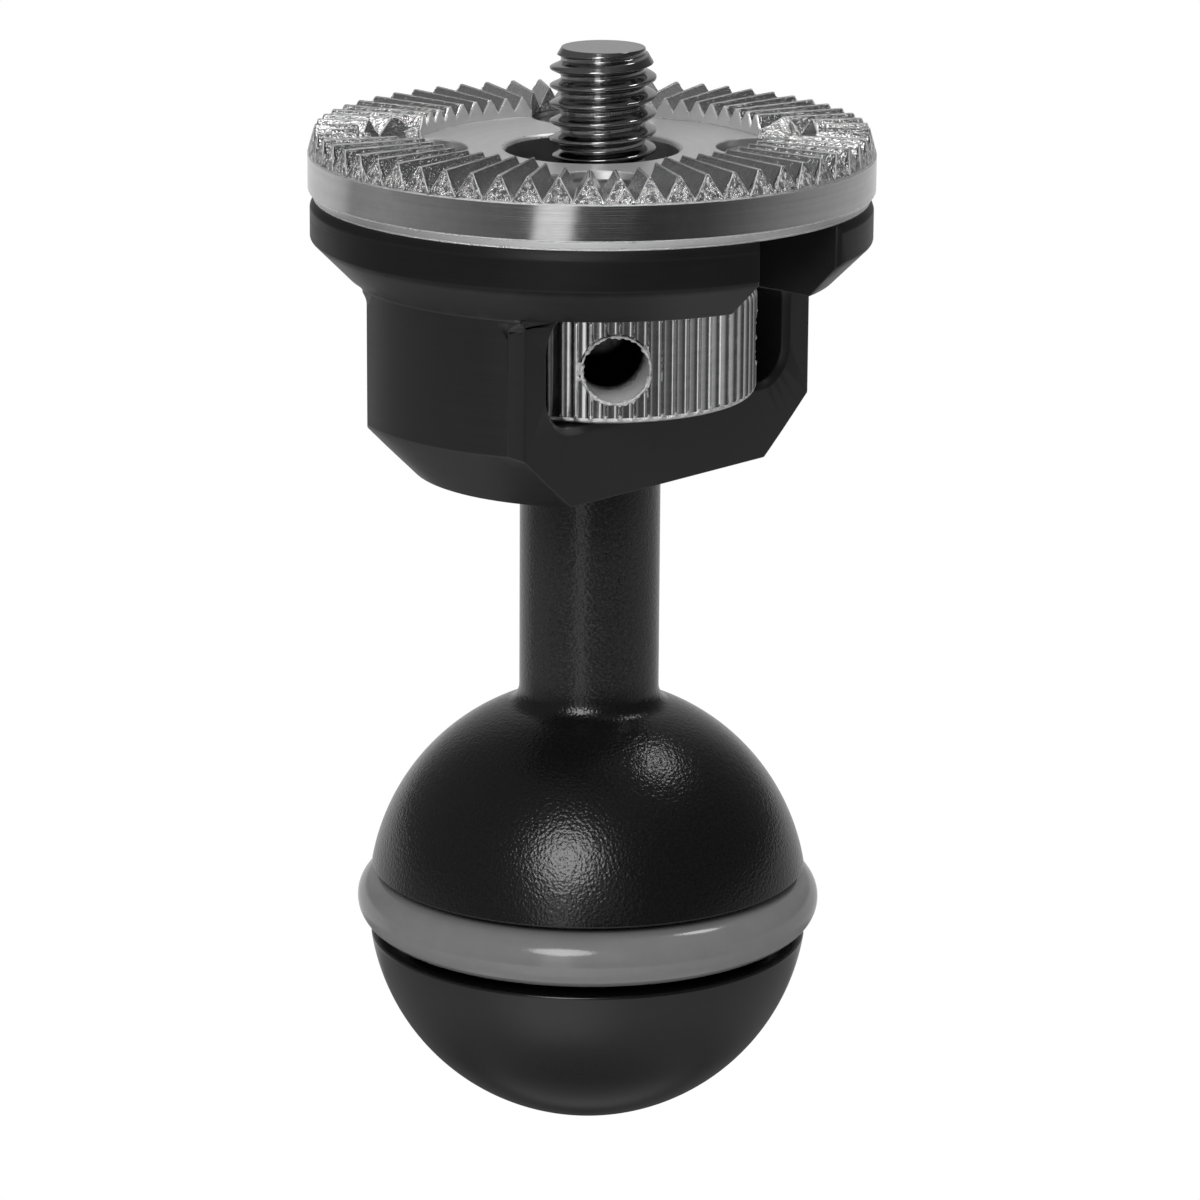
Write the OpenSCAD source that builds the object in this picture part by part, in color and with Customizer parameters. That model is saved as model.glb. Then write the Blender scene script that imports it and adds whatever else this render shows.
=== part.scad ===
// Ball adapter with a toothed rosette: a standard 31.8 mm, 60-tooth rosette with its captive
// M6 screw, on a machined housing, a round stem and a one-inch ball with a rubber ring.
// Frame: origin at the ball's centre, +Z up to the screw's tip, the open front of the
// housing's screw slot faces -Y, the wheel's window runs through along Y.

/* [Ball and stem] */
// Diameter of the ball
ball_d = 25.4; // [20:0.1:38]
// Diameter of the round stem
stem_d = 8; // [7.6:0.1:10]
// Height of the housing's underside above the ball's centre
stem_top = 25.8; // [25:0.1:40]
// Radius of the fillet where the stem meets the ball
stem_fillet = 1.2; // [0.4:0.1:2]
// Diameter of the spigot that centres the stem in the housing
spigot_d = 6.4; // [6:0.1:7]
// Height of that spigot
spigot_h = 1; // [0.5:0.1:1.4]

/* [Rubber ring] */
// Thickness of the ring's round section
ring_t = 3.25; // [2.4:0.05:3.4]
// Diameter of the circle through the middle of the section
ring_mid_d = 23.4; // [23.2:0.1:23.7]
// Width of the groove round the ball
groove_w = 4; // [3.6:0.1:4.4]
// Height of the groove's middle above the ball's centre
groove_rise = 0.2; // [0:0.05:0.4]
// How far the ring lies above the groove's middle, pushed up by the last clamp
ring_lift = 0.05; // [0:0.01:0.08]

/* [Housing] */
// How far the flange's rim stands back from the rosette's
flange_step = 0.1; // [0:0.05:0.3]
// Height of the flange's straight rim
flange_h = 2.2; // [1.6:0.1:2.3]
// Diameter of the housing's round ends
core_d = 27.2; // [26.6:0.1:27.4]
// Width of the housing across its two milled flats
flats_w = 12.1; // [11:0.1:13]
// Height of the housing, underside to top face
housing_h = 15.5; // [15.3:0.1:15.9]
// Diameter of the round underside, at the foot of the lower cone
foot_d = 20.2; // [18:0.1:21]
// Height of the flats, from the underside to the shoulder under the flange
flats_h = 11.2; // [11.1:0.05:11.4]
// Depth of the bevel on the flats' four upright corners
corner_bevel = 0.25; // [0.1:0.05:0.4]
// Radius at which those bevels run out under the shoulder
corner_runout = 0.7; // [0.4:0.1:1]
// Width of the bevel on the flange's top edge
flange_bevel_w = 0.2; // [0.1:0.05:0.4]
// Height of that bevel
flange_bevel_h = 0.5; // [0.2:0.05:0.6]

/* [Window and slot] */
// Room between the wheel and each end of the window
window_room = 1.1; // [1:0.05:1.4]
// Thickness of the floor under the window
floor_t = 4.4; // [4.2:0.05:4.45]
// Radius of the window's corners
window_r = 2; // [1:0.1:2.8]
// Bevel round the window's mouths
window_bevel = 0.35; // [0.1:0.05:0.4]
// Room on each side of the screw in the slot that lets it in from the front
slot_room = 0.225; // [0.15:0.025:0.5]
// Bevel on the slot's upright edges
slot_bevel = 0.2; // [0.1:0.05:0.4]

/* [Rosette] */
// Diameter of the rosette
rosette_d = 31.8; // [31:0.1:32.4]
// Number of teeth
tooth_count = 60; // [48:6:72]
// Angle of the vee between two teeth
tooth_angle = 60; // [56:1:70]
// Height of the teeth's crests above the rosette's underside
crest_h = 3.95; // [3.7:0.05:4.4]
// Diameter of the flat middle, inside the teeth
disc_d = 20; // [19:0.1:21]
// Height of the flat middle above the rosette's underside
disc_h = 2.75; // [2.5:0.05:2.9]
// Bore for the screw
bore_d = 9.7; // [9:0.1:11]
// Width of the flat left on a tooth's crest at the rim
crest_flat = 0.18; // [0.1:0.02:0.3]
// Width of the bevel on the rosette's lower edge
rosette_bevel_w = 0.3; // [0.1:0.05:0.5]
// Height of that bevel
rosette_bevel_h = 0.45; // [0.3:0.05:0.7]
// Height of the straight land under that bevel
rosette_land = 0.1; // [0.1:0.05:0.3]
// Height of the bevel on the teeth's outer ends, below the crests
rim_bevel_h = 1.4; // [1:0.1:1.6]
// Width of that bevel
rim_bevel_w = 0.4; // [0.2:0.1:0.8]
// Bevel on the bore's upper edge
bore_bevel = 0.2; // [0.1:0.05:0.4]

/* [Rosette screws] */
// Diameter of the circle that the four screws lie on
screw_pcd = 20.1; // [19:0.1:21]
// Diameter of the counterbores
counterbore_d = 6.2; // [6:0.1:6.6]
// Depth of the counterbores below the flat middle
counterbore_depth = 1.5; // [1.4:0.05:1.6]
// Diameter of a screw's head
head_d = 5.5; // [5:0.1:5.8]
// Height of a screw's head
head_h = 1.2; // [1:0.1:1.3]
// Diameter of a screw's shank
shank_d = 3; // [2.5:0.5:3]
// Length of the shank under the head
shank_l = 4; // [3.6:0.1:4.5]
// Width of the socket across its flats
socket_w = 2; // [1.5:0.1:2.5]
// Depth of the socket
socket_depth = 0.8; // [0.6:0.05:0.9]

/* [Clamp screw] */
// Diameter of the knurled wheel
wheel_d = 17.5; // [16:0.1:17.8]
// Thickness of the wheel
wheel_h = 6.1; // [5.8:0.05:6.15]
// Number of ribs round the wheel
rib_count = 68; // [48:1:72]
// Depth of the hollows between the ribs
rib_depth = 0.28; // [0.15:0.01:0.35]
// Share of the pitch that a rib's crest takes
rib_crest_share = 0.2; // [0.1:0.05:0.4]
// Bevel on the wheel's two rims
wheel_bevel = 0.5; // [0.3:0.05:0.7]
// Running gap between the window's floor and the wheel
wheel_gap = 0.1; // [0.05:0.05:0.15]
// Room above the wheel, up to the window's roof
wheel_room = 0.2; // [0.1:0.05:0.25]
// Diameter of the crossed holes for a turning pin
pin_hole_d = 4; // [3:0.1:4.2]
// Angle from the slot to the pin hole at the front left
pin_hole_angle = -42; // [-60:1:-30]
// Outside diameter of the M6 thread
thread_d = 5.95; // [5.9:0.01:6]
// Length of the thread, down from the tip
thread_l = 5.6; // [4:0.1:5.65]
// Diameter of the relieved shank under the thread
screw_shank_d = 5; // [4.6:0.1:5.2]
// Height of the screw's tip above the teeth's crests
tip_rise = 4.55; // [3:0.05:8]
// Width of the bevel on the screw's tip
tip_bevel_w = 0.65; // [0.3:0.05:0.8]
// Height of that bevel
tip_bevel_h = 1.1; // [0.5:0.1:1.5]
// How far the loose screw stands towards the slot's mouth
screw_shift = 0.8; // [0:0.1:0.9]

/* [Stem bolt] */
// Diameter of the countersunk head
bolt_head_d = 8; // [7:0.1:8.2]
// Diameter of the bolt
bolt_d = 4; // [4:0.1:4.5]
// Length of the bolt, head included
bolt_l = 12; // [8:0.5:16]
// Depth of the bolt's head below the window's floor
bolt_sink = 0.3; // [0.1:0.05:0.4]
// Width of the bolt's socket across its flats
bolt_socket_w = 2.5; // [2:0.1:2.8]
// Depth of the bolt's socket
bolt_socket_depth = 1.5; // [1:0.1:1.8]

/* [Hidden] */
screw_count = 4;
curve_fn = 96;           // how finely the round shapes are drawn
overrun = 1;             // how far a cutter runs past the face that it cuts
screw_fit = 0.15;        // gap round a screw's shank in the piece that it clamps
spigot_fit = 0.05;       // gap round the stem's spigot
hole_spare = 0.5;        // length of a tapped hole past its screw's tip

ball_r = ball_d / 2;
ring_r = ring_t / 2;
ring_mid_r = ring_mid_d / 2;
groove_r = ring_mid_r - ring_r;
stem_r = stem_d / 2;
spigot_r = spigot_d / 2;
rosette_r = rosette_d / 2;
flange_r = rosette_r - flange_step;
core_r = core_d / 2;
foot_r = foot_d / 2;
flat_y = flats_w / 2;
housing_top = stem_top + housing_h;
flange_low = housing_top - flange_h;
head_low = flange_low - (flange_r - core_r);
core_low = stem_top + (core_r - foot_r);
shoulder_z = stem_top + flats_h;
floor_z = stem_top + floor_t;
window_w = wheel_d + 2 * window_room;
window_h = wheel_gap + wheel_h + wheel_room;
window_mid = floor_z + window_h / 2;
slot_w = thread_d + 2 * slot_room;
slot_r = slot_w / 2;
disc_r = disc_d / 2;
bore_r = bore_d / 2;
disc_z = housing_top + disc_h;
crest_z = housing_top + crest_h;
counterbore_z = disc_z - counterbore_depth;
head_r = head_d / 2;
shank_r = shank_d / 2;
wheel_r = wheel_d / 2;
wheel_low = floor_z + wheel_gap;
thread_r = thread_d / 2;
tip_z = crest_z + tip_rise;
bolt_r = bolt_d / 2;
bolt_head_r = bolt_head_d / 2;
bolt_top = floor_z - bolt_sink;
bolt_cone_low = bolt_top - (bolt_head_r - bolt_r);
bolt_tip = bolt_top - bolt_l;

// Half the width of a vee between teeth at the rim, and how deep that vee is there
vee_half_w = rosette_r * sin(180 / tooth_count) - crest_flat / 2;
vee_depth = vee_half_w / tan(tooth_angle / 2);
// The vees' floors climb towards the middle, so that the teeth keep their shape at every radius
vee_climb = atan(vee_depth / rosette_r);

// The centre of the fillet's arc, outside the ball and beside the stem, and the arc's foot
fillet_x = stem_r + stem_fillet;
fillet_z = sqrt((ball_r + stem_fillet) ^ 2 - fillet_x ^ 2);
fillet_turn = atan2(fillet_z, fillet_x);

// A solid turned from a profile of radius and height
module turned(points) {
    rotate_extrude($fn = curve_fn) polygon(points);
}

// A cylinder with its two rims bevelled
module bevelled_cylinder(r, h, low, high) {
    turned([[0, 0], [r - low, 0], [r, low], [r, h - high], [r - high, h], [0, h]]);
}

// A hexagon socket's cutter, sunk from the face that it stands on
module socket(across, depth) {
    translate([0, 0, -depth]) cylinder(r = across / sqrt(3), h = depth + overrun, $fn = 6);
}

// The turned blank of the housing: foot, lower cone, round ends, upper cone and flange
module housing_blank() {
    turned([[0, stem_top], [foot_r, stem_top], [core_r, core_low], [core_r, head_low],
            [flange_r, flange_low], [flange_r, housing_top - flange_bevel_h],
            [flange_r - flange_bevel_w, housing_top], [0, housing_top]]);
}

// What the two milled flats take off below the shoulder, with their four bevelled corners
module flat_cuts() {
    corner_x = sqrt(core_r ^ 2 - flat_y ^ 2);
    runout_z = head_low - corner_runout;
    for (side = [0, 180]) rotate([0, 0, side]) {
        translate([-flange_r, flat_y, stem_top - overrun])
            cube([2 * flange_r, flange_r, shoulder_z - stem_top + overrun]);
        for (way = [-1, 1])
            translate([way * corner_x, flat_y, 0]) rotate([0, 0, -way * 45]) {
                translate([-flat_y, -corner_bevel, stem_top - overrun])
                    cube([flats_w, flat_y, runout_z - stem_top + overrun]);
                translate([-flat_y, corner_runout - corner_bevel, runout_z])
                    rotate([0, 90, 0]) cylinder(r = corner_runout, h = flats_w, $fn = curve_fn);
            }
    }
}

// The window's outline, with its corners in true arcs, grown by a margin
module window_outline(margin) {
    r = window_r + margin;
    w = window_w / 2 - window_r;
    h = window_h / 2 - window_r;
    square([2 * w, 2 * (h + r)], center = true);
    square([2 * (w + r), 2 * h], center = true);
    for (x = [-w, w], y = [-h, h]) translate([x, y]) circle(r = r, $fn = curve_fn);
}

// The bevel at one of the window's mouths: wedges along its sides and a cone in each corner
module window_mouth() {
    b = window_bevel;
    w = window_w / 2 - window_r;
    h = window_h / 2 - window_r;
    out_w = w + window_r;
    out_h = h + window_r;
    for (x = [-w, w], y = [-h, h])
        translate([x, y, -b]) cylinder(r1 = window_r, r2 = window_r + b, h = b, $fn = curve_fn);
    translate([-w, 0, 0]) rotate([90, 0, 90]) linear_extrude(2 * w)
        polygon([[-out_h, -b], [out_h, -b], [out_h + b, 0], [-out_h - b, 0]]);
    translate([0, h, 0]) rotate([90, 0, 0]) linear_extrude(2 * h)
        polygon([[-out_w, -b], [out_w, -b], [out_w + b, 0], [-out_w - b, 0]]);
}

// The window along Y, bevelled where it leaves the two flats
module window_cut() {
    translate([0, 0, window_mid]) rotate([90, 0, 0]) {
        linear_extrude(2 * flange_r, center = true) window_outline(0);
        for (side = [0, 180]) rotate([0, side, 0]) translate([0, 0, flat_y]) {
            window_mouth();
            linear_extrude(flange_r) window_outline(window_bevel);
        }
    }
}

// The slot from the front rim to the middle, with bevelled edges on the rim
module slot_cut() {
    mouth_y = sqrt(flange_r ^ 2 - slot_r ^ 2);
    slot_h = housing_top - window_mid + overrun;
    translate([0, 0, window_mid]) {
        cylinder(r = slot_r, h = slot_h, $fn = curve_fn);
        translate([-slot_r, -flange_r - overrun, 0]) cube([slot_w, flange_r + overrun, slot_h]);
        for (way = [-1, 1])
            translate([way * slot_r, -mouth_y, 0]) rotate([0, 0, 45])
                translate([-slot_bevel, -slot_bevel, 0]) cube([2 * slot_bevel, 2 * slot_bevel, slot_h]);
    }
}

// The bolt's way through the floor: the spigot's seat, a clearance hole and the countersink
module stem_bolt_cut() {
    hole_r = bolt_r + screw_fit;
    seat_r = spigot_r + spigot_fit;
    turned([[0, stem_top - overrun], [seat_r, stem_top - overrun], [seat_r, stem_top + spigot_h],
            [hole_r, stem_top + spigot_h], [hole_r, bolt_cone_low + screw_fit],
            [bolt_head_r, bolt_top], [bolt_head_r, floor_z + overrun], [0, floor_z + overrun]]);
}

// The places of the rosette's four screws, halfway between the slot and the window's ends
module at_screw(index) {
    rotate([0, 0, 45 + index * 360 / screw_count]) translate([screw_pcd / 2, 0, 0]) children();
}

module housing() {
    color([0.13, 0.13, 0.13]) difference() {
        housing_blank();
        flat_cuts();
        window_cut();
        slot_cut();
        stem_bolt_cut();
        for (i = [0 : screw_count - 1]) at_screw(i)
            translate([0, 0, counterbore_z - shank_l - hole_spare])
                cylinder(r = shank_r, h = shank_l + hole_spare, $fn = curve_fn);
    }
}

// The rosette's turned blank: ring for the teeth, sunken flat middle and bore
module rosette_blank() {
    land_r = rosette_r - rosette_bevel_w;
    land_z = housing_top + rosette_land;
    turned([[bore_r, housing_top], [land_r, housing_top], [land_r, land_z],
            [rosette_r, land_z + rosette_bevel_h], [rosette_r, crest_z - rim_bevel_h],
            [rosette_r - rim_bevel_w, crest_z], [disc_r, crest_z], [disc_r, disc_z],
            [bore_r + bore_bevel, disc_z], [bore_r, disc_z - bore_bevel]]);
}

// One vee between two teeth: a prism whose floor climbs from the rim towards the axis
module tooth_vee() {
    reach = rosette_r - disc_r + 2 * overrun;
    half_w = vee_half_w + overrun * tan(tooth_angle / 2);
    top = vee_depth + overrun;
    translate([rosette_r, 0, crest_z - vee_depth]) rotate([0, vee_climb, 0])
        translate([overrun, 0, 0]) rotate([90, 0, -90])
            linear_extrude(reach) polygon([[0, 0], [half_w, top], [-half_w, top]]);
}

module rosette() {
    color([0.66, 0.66, 0.66]) difference() {
        rosette_blank();
        for (i = [0 : tooth_count - 1]) rotate([0, 0, (i + 0.5) * 360 / tooth_count]) tooth_vee();
        for (i = [0 : screw_count - 1]) at_screw(i) {
            translate([0, 0, counterbore_z]) cylinder(d = counterbore_d, h = crest_h, $fn = curve_fn);
            translate([0, 0, housing_top - overrun])
                cylinder(r = shank_r + screw_fit, h = crest_h, $fn = curve_fn);
        }
    }
}

// A low-headed socket screw, seated in its counterbore
module rosette_screw(index) {
    color([0.45, 0.45, 0.45]) at_screw(index) translate([0, 0, counterbore_z]) difference() {
        union() {
            bevelled_cylinder(head_r, head_h, 0, head_h / 6);
            translate([0, 0, -shank_l]) bevelled_cylinder(shank_r, shank_l + head_h / 2, shank_r / 4, 0);
        }
        translate([0, 0, head_h]) socket(socket_w, socket_depth);
    }
}

// The wheel's ribbed outline: narrow crests with round hollows between them
module ribbed_outline() {
    pitch = 360 / rib_count;
    hollow_share = 1 - rib_crest_share;
    steps = 5;
    polygon([for (i = [0 : rib_count - 1], j = [0 : steps])
        let (u = j / steps,
             a = (i + rib_crest_share / 2 + hollow_share * u) * pitch,
             r = wheel_r - rib_depth * (1 - (2 * u - 1) ^ 2))
        [r * cos(a), r * sin(a)]]);
}

// The captive screw, turned from one bar: ribbed wheel with crossed pin holes, and M6 shank
module clamp_screw() {
    shaft_top = tip_z - wheel_low;
    color([0.7, 0.7, 0.7]) translate([0, -screw_shift, wheel_low]) {
        difference() {
            intersection() {
                linear_extrude(wheel_h) ribbed_outline();
                bevelled_cylinder(wheel_r, wheel_h, wheel_bevel, wheel_bevel);
            }
            for (turn = [0, 90])
                translate([0, 0, wheel_h / 2]) rotate([0, 90, -90 + pin_hole_angle + turn])
                    cylinder(d = pin_hole_d, h = 2 * wheel_d, center = true, $fn = curve_fn);
        }
        turned([[0, wheel_h - wheel_bevel], [screw_shank_d / 2, wheel_h - wheel_bevel],
                [screw_shank_d / 2, shaft_top - thread_l], [thread_r, shaft_top - thread_l],
                [thread_r, shaft_top - tip_bevel_h], [thread_r - tip_bevel_w, shaft_top], [0, shaft_top]]);
    }
}

// The ball and its stem, turned from one bar, with a square groove for the ring
module ball_stem() {
    foot_z = ball_r * sin(fillet_turn);
    foot_x = ball_r * cos(fillet_turn);
    color([0.11, 0.11, 0.11]) difference() {
        union() {
            sphere(r = ball_r, $fn = curve_fn);
            cylinder(r = stem_r, h = stem_top, $fn = curve_fn);
            cylinder(r = spigot_r, h = stem_top + spigot_h, $fn = curve_fn);
            rotate_extrude($fn = curve_fn) difference() {
                polygon([[0, foot_z], [foot_x, foot_z], [fillet_x, fillet_z], [0, fillet_z]]);
                translate([fillet_x, fillet_z]) circle(r = stem_fillet, $fn = curve_fn);
            }
        }
        rotate_extrude($fn = curve_fn)
            translate([groove_r, groove_rise - groove_w / 2]) square([ball_r, groove_w]);
        translate([0, 0, bolt_tip - hole_spare])
            cylinder(r = bolt_r, h = bolt_l + hole_spare, $fn = curve_fn);
    }
}

module ball_ring() {
    color([0.45, 0.45, 0.45]) translate([0, 0, groove_rise + ring_lift])
        rotate_extrude($fn = curve_fn) translate([ring_mid_r, 0]) circle(r = ring_r, $fn = curve_fn);
}

// The countersunk bolt that holds the stem, put in through the slot before the rosette goes on
module stem_bolt() {
    color([0.4, 0.4, 0.4]) difference() {
        turned([[0, bolt_tip], [bolt_r * 3 / 4, bolt_tip], [bolt_r, bolt_tip + bolt_r / 4],
                [bolt_r, bolt_cone_low], [bolt_head_r, bolt_top], [0, bolt_top]]);
        translate([0, 0, bolt_top]) socket(bolt_socket_w, bolt_socket_depth);
    }
}

housing();
rosette();
rosette_screw(0);  // rosette_screw_1
rosette_screw(1);  // rosette_screw_2
rosette_screw(2);  // rosette_screw_3
rosette_screw(3);  // rosette_screw_4
clamp_screw();
ball_stem();
ball_ring();
stem_bolt();
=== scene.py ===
import math

import bmesh
import bpy
import numpy as np
from mathutils import Matrix, Vector


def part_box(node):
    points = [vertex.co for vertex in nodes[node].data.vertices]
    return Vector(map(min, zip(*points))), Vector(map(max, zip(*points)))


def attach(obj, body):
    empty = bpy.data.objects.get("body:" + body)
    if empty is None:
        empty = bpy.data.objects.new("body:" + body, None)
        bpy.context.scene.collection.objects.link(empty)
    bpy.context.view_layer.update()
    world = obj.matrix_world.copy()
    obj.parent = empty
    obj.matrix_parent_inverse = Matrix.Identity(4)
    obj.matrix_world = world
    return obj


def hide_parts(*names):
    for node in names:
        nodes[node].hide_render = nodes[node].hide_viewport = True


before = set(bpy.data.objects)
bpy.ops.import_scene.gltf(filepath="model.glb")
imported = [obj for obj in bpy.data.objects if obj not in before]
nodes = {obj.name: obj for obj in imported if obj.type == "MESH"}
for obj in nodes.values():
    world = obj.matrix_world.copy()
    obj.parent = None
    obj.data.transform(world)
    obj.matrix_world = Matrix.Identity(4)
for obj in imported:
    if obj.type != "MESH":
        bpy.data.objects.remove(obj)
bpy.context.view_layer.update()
scene = bpy.context.scene
mm = 0.001
tau = 2 * math.pi
print("stage: frame loaded")

# Meshes. All lengths are in millimetres until a mesh is filled.


# The lowest and highest corners of a CAD node, in mm
def boxOf(name):
    low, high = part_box(name)
    return np.array(low) / mm, np.array(high) / mm


# A mesh of points, and of faces with four or three corners given as rows of point numbers
def filled(name, points, quads=np.zeros((0, 4), int), triangles=np.zeros((0, 3), int)):
    mesh = bpy.data.meshes.new(name)
    corners = np.concatenate([quads.ravel(), triangles.ravel()]).astype(np.int32)
    starts = np.concatenate([np.arange(len(quads)) * 4, quads.size + np.arange(len(triangles)) * 3])
    mesh.vertices.add(len(points))
    mesh.vertices.foreach_set("co", (points * mm).astype(np.float32).ravel())
    mesh.loops.add(len(corners))
    mesh.loops.foreach_set("vertex_index", corners)
    mesh.polygons.add(len(starts))
    mesh.polygons.foreach_set("loop_start", starts.astype(np.int32))
    mesh.update(calc_edges=True)
    return mesh


def linked(name, mesh):
    piece = bpy.data.objects.new(name, mesh)
    scene.collection.objects.link(piece)
    return piece


# The angles of a number of columns all round, as one row
def roundTurns(columns):
    return (np.arange(columns) * tau / columns)[None, :]


# Rings of points, each turning left round the way from the first to the last, joined row by row;
# the middle of the first ring and of the last one close the skin
def skin(name, rings):
    count, columns = rings.shape[:2]
    points = np.vstack([rings.reshape(-1, 3), rings[0].mean(axis=0), rings[-1].mean(axis=0)])
    j = np.arange(columns)
    k = (j + 1) % columns
    rows = np.arange(count - 1)[:, None] * columns
    quads = np.stack([rows + j, rows + k, rows + columns + k, rows + columns + j], axis=2).reshape(-1, 4)
    last = (count - 1) * columns
    foot = np.stack([np.full(columns, last + columns), k, j], axis=1)
    head = np.stack([np.full(columns, last + columns + 1), last + j, last + k], axis=1)
    mesh = filled(name, points, quads, np.vstack([foot, head]))
    mesh.shade_smooth()
    return linked(name, mesh)


# Points (r cos t + x, r sin t + y, z) for radii and heights given as arrays of rows by turns
def wound(radii, heights, turns, centre=(0, 0)):
    return np.stack([radii * np.cos(turns) + centre[0], radii * np.sin(turns) + centre[1],
                     heights + 0 * turns], axis=2)


# A profile of radius and height, from the lower pole outwards and up, turned about Z
def turned(name, profile, columns):
    profile = np.array(profile, float)
    turns = roundTurns(columns)
    return skin(name, wound(profile[:, :1] + 0 * turns, profile[:, 1:2], turns))


# Each corner given as (radius, height, rounding) becomes an arc of that rounding, with a spare
# point before and after it that keeps the flat faces beside it flat
def softened(corners, steps=5, spare=1.5):
    out = []
    for i, corner in enumerate(corners):
        here = np.array(corner[:2], float)
        if len(corner) < 3:
            out.append(here)
            continue
        a = np.array(corners[i - 1][:2], float) - here
        b = np.array(corners[i + 1][:2], float) - here
        a /= np.linalg.norm(a)
        b /= np.linalg.norm(b)
        half = math.acos(float(np.clip(a @ b, -1, 1))) / 2
        reach = corner[2] / math.tan(half)
        centre = here + (a + b) / np.linalg.norm(a + b) * corner[2] / math.sin(half)
        out.append(here + a * reach * spare)
        for t in np.linspace(0, 1, steps):
            spoke = (here + a * reach) * (1 - t) + (here + b * reach) * t - centre
            out.append(centre + spoke / np.linalg.norm(spoke) * corner[2])
        out.append(here + b * reach * spare)
    return out


# Points (x + r cos a, z + r sin a) for angles a from start to end, in degrees
def arc(x, z, r, start, end, steps):
    a = np.radians(np.linspace(start, end, steps))
    return list(zip(x + r * np.cos(a), z + r * np.sin(a)))


# Puts a piece on its body and under its finishes
def finished(piece, body, slotName, *made):
    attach(piece, body)
    for material in made:
        piece.data.materials.append(material)
    return piece


# Materials


# A shader node, whose inputs are other nodes' outputs or plain values
def put(tree, kind, inputs=None, **settings):
    node = tree.nodes.new("ShaderNode" + kind)
    for key, value in settings.items():
        setattr(node, key, value)
    for key, value in (inputs or {}).items():
        if isinstance(value, bpy.types.NodeSocket):
            tree.links.new(value, node.inputs[key])
        else:
            node.inputs[key].default_value = value
    return node


def calc(tree, operation, a, b=0.0):
    return put(tree, "Math", {0: a, 1: b}, operation=operation).outputs[0]


# a times its share plus b times its share
def weighted(tree, a, shareA, b, shareB):
    return calc(tree, "ADD", calc(tree, "MULTIPLY", a, shareA), calc(tree, "MULTIPLY", b, shareB))


# 0 below low, 1 above high and a soft step between them
def step(tree, value, low, high):
    return put(tree, "MapRange", {0: value, 1: low, 2: high}, interpolation_type="SMOOTHSTEP").outputs[0]


# Carries a value between 0 and 1 over to the way from low to high
def spread(tree, value, low, high):
    return put(tree, "MapRange", {0: value, 3: low, 4: high}).outputs[0]


def blendColour(tree, factor, a, b):
    node = put(tree, "Mix", data_type="RGBA")
    for socket, value in ((node.inputs[0], factor), (node.inputs[6], a), (node.inputs[7], b)):
        if isinstance(value, bpy.types.NodeSocket):
            tree.links.new(value, socket)
        else:
            socket.default_value = value
    return node.outputs[2]


def grey(level, warmth=0.0):
    return (level * (1 + warmth), level, level * (1 - warmth), 1)


def grain(tree, vector, scale, detail=2.0, roughness=0.5):
    return put(tree, "TexNoise", {"Vector": vector, "Scale": scale, "Detail": detail,
                                  "Roughness": roughness}).outputs[0]


# A bump of the given depth in mm, on top of the one under it
def raised(tree, height, depth, under=None):
    inputs = {"Height": height, "Distance": depth * mm, "Strength": 1.0}
    if under is not None:
        inputs["Normal"] = under
    return put(tree, "Bump", inputs).outputs[0]


# Object coordinates in mm, and the radius and angle about the upright line through (0, centreY)
def polar(tree, centreY=0.0):
    place = put(tree, "VectorMath", {0: put(tree, "TexCoord").outputs["Object"], "Scale": 1 / mm},
                operation="SCALE").outputs[0]
    parts = put(tree, "SeparateXYZ", {0: place})
    x, z = parts.outputs[0], parts.outputs[2]
    y = calc(tree, "SUBTRACT", parts.outputs[1], centreY)
    r = calc(tree, "SQRT", weighted(tree, x, x, y, y))
    return {"place": place, "y": y, "z": z, "r": r, "angle": calc(tree, "ARCTAN2", y, x)}


# Coordinates that a tool's path leaves alike all round: radius and height count, the angle hardly
def toolPath(tree, at, along=0.25, up=1.0):
    return put(tree, "CombineXYZ", {0: at["r"], 1: calc(tree, "MULTIPLY", at["angle"], along),
                                    2: calc(tree, "MULTIPLY", at["z"], up)}).outputs[0]


# A material with plain values, which its nodes then refine
def material(name, settings):
    made = bpy.data.materials.new(name)
    made.use_nodes = True
    shader = made.node_tree.nodes["Principled BSDF"]
    for key, value in settings.items():
        shader.inputs[key].default_value = value
    return made, made.node_tree, shader


def wire(tree, shader, **sockets):
    for key, value in sockets.items():
        tree.links.new(value, shader.inputs[key.replace("_", " ")])


# The flange's wall starts between two radii in mm, and is duller than the rest of the housing
flangeR = 15.8
anodising = {
    "wallStarts": (flangeR - 0.5, flangeR - 0.1), "shine": 0.45, "wallShine": 0.12,
    "darkest": 0.72, "palest": 1.28, "wear": 0.09, "dustDepth": 0.004, "cutDepth": 0.006,
}


# Black anodised aluminium: a fine cutter pattern, faint blotches and dust in the sealed skin
def anodisedBlack(name, level, gloss):
    made, tree, shader = material(name, {"Base Color": grey(level), "Roughness": gloss,
                                         "Specular IOR Level": anodising["shine"]})
    at = polar(tree)
    lines = grain(tree, toolPath(tree, at), scale=9.0, detail=3.0, roughness=0.6)
    speck = grain(tree, at["place"], scale=22.0, roughness=0.6)
    cloud = grain(tree, at["place"], scale=0.35)
    tone = weighted(tree, lines, 0.5, cloud, 0.5)
    wear = weighted(tree, lines, 0.6, cloud, 0.4)
    wall = step(tree, at["r"], *anodising["wallStarts"])
    wire(tree, shader,
         Specular_IOR_Level=spread(tree, wall, anodising["shine"], anodising["wallShine"]),
         Base_Color=blendColour(tree, tone, grey(level * anodising["darkest"]),
                                grey(level * anodising["palest"])),
         Roughness=spread(tree, wear, gloss - anodising["wear"], gloss + anodising["wear"]),
         Normal=raised(tree, speck, anodising["dustDepth"],
                       raised(tree, lines, anodising["cutDepth"])))
    return made


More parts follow.
